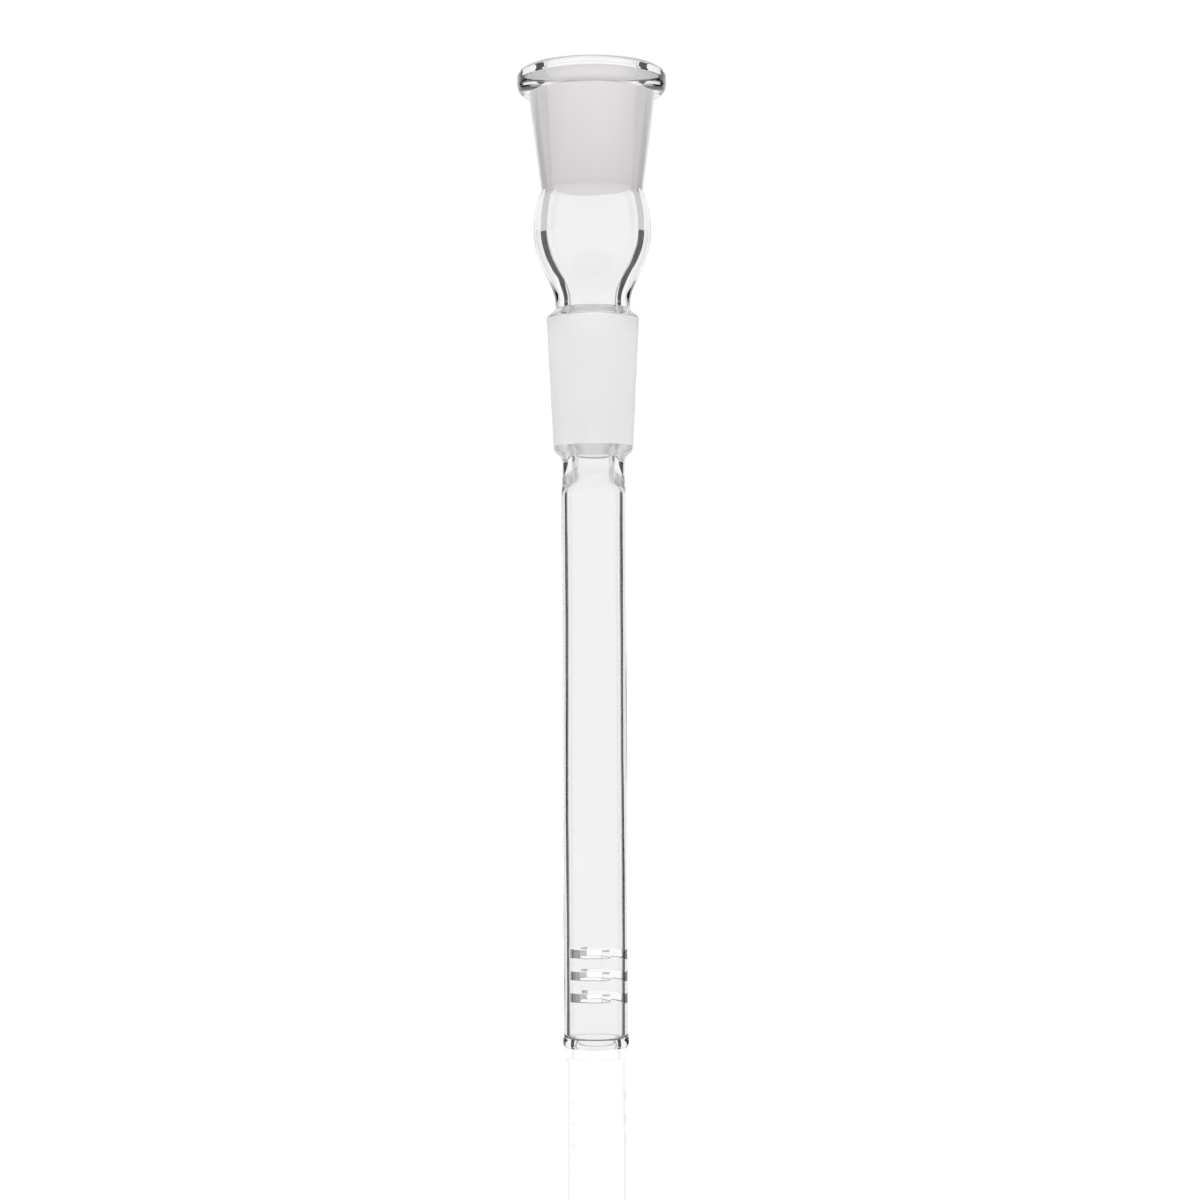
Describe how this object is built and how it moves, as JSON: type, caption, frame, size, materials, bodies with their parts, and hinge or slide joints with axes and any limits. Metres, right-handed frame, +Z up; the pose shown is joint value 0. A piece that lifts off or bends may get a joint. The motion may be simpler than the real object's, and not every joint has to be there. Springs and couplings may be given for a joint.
{
  "type": "diffuser down-tube adapter",
  "caption": "Clear glass adapter with a taper socket, bulb and taper cone above a long thin tube with sawn diffuser slots near its foot.",
  "frame": {"origin": "centre of the foot's flat ring, on the surface that the adapter stands on", "axes": "+Z up the axis of the glass, from the foot to the mouth; +Y away from the front, +X to the right"},
  "size_m": [0.0304, 0.0304, 0.1985],
  "materials": {
    "clear_glass": "fire-polished clear borosilicate glass",
    "ground_glass": "fine ground, matt taper joint face on clear borosilicate glass"
  },
  "bodies": {
    "root": {"foot_rim": "clear_glass", "diffuser_tube": "clear_glass", "throat": "clear_glass", "ground_cone": "ground_glass", "neck": "clear_glass", "bulb": "clear_glass", "ground_socket": "ground_glass", "rolled_rim": "clear_glass"}
  },
  "joints": []
}
